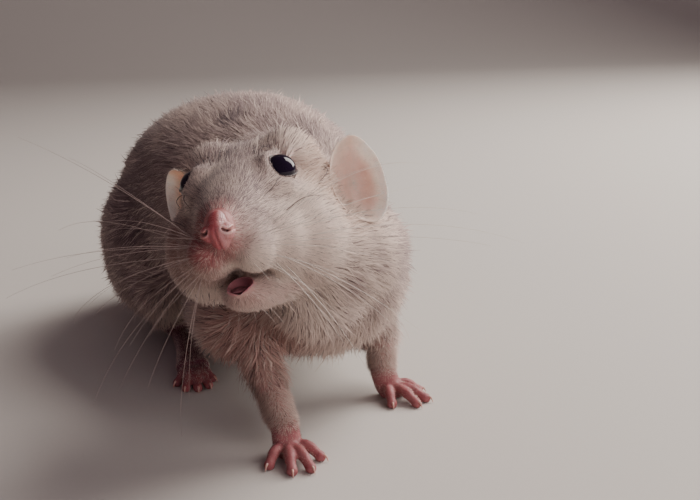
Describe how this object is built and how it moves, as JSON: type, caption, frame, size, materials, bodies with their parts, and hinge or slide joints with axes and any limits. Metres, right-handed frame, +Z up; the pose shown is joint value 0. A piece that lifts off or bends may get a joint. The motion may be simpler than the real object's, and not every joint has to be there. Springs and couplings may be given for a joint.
{
  "type": "pet rat model",
  "caption": "Still life-size model of a pet rat, crouching on its four feet with its head raised and turned to one side, whiskers spread and the tail lying in a curve behind it.",
  "frame": {"origin": "middle of the underside of the whole rat's box, whiskers and tail included, on the floor that it stands on", "axes": "+Z up, the body faces -Y, its left side is at +X, and the head is turned about thirty degrees to its right"},
  "size_m": [0.1634, 0.253, 0.075],
  "materials": {
    "coat": "soft short wavy coat, warm grey with pale cheeks and darker patches",
    "paw": "bare pink skin, fine creases",
    "ear": "thin bare skin that lets light through",
    "nose": "moist bare skin",
    "eye": "wet black",
    "tail": "ringed scaly skin with sparse short hairs"
  },
  "bodies": {
    "root": {"head": "coat", "neck": "coat", "lower_jaw": "coat", "muzzle": "coat", "nose": "nose", "tongue": "nose", "eye_left": "eye", "eye_right": "eye", "ear_left": "ear", "ear_right": "ear", "torso": "coat", "foreleg_left": "coat", "foreleg_right": "coat", "hind_leg_left": "coat", "hind_leg_right": "coat", "forepaw_left": "paw", "forepaw_right": "paw", "hind_foot_left": "paw", "hind_foot_right": "paw", "tail_1": "tail", "tail_2": "tail", "tail_3": "tail", "tail_4": "tail"}
  },
  "joints": []
}
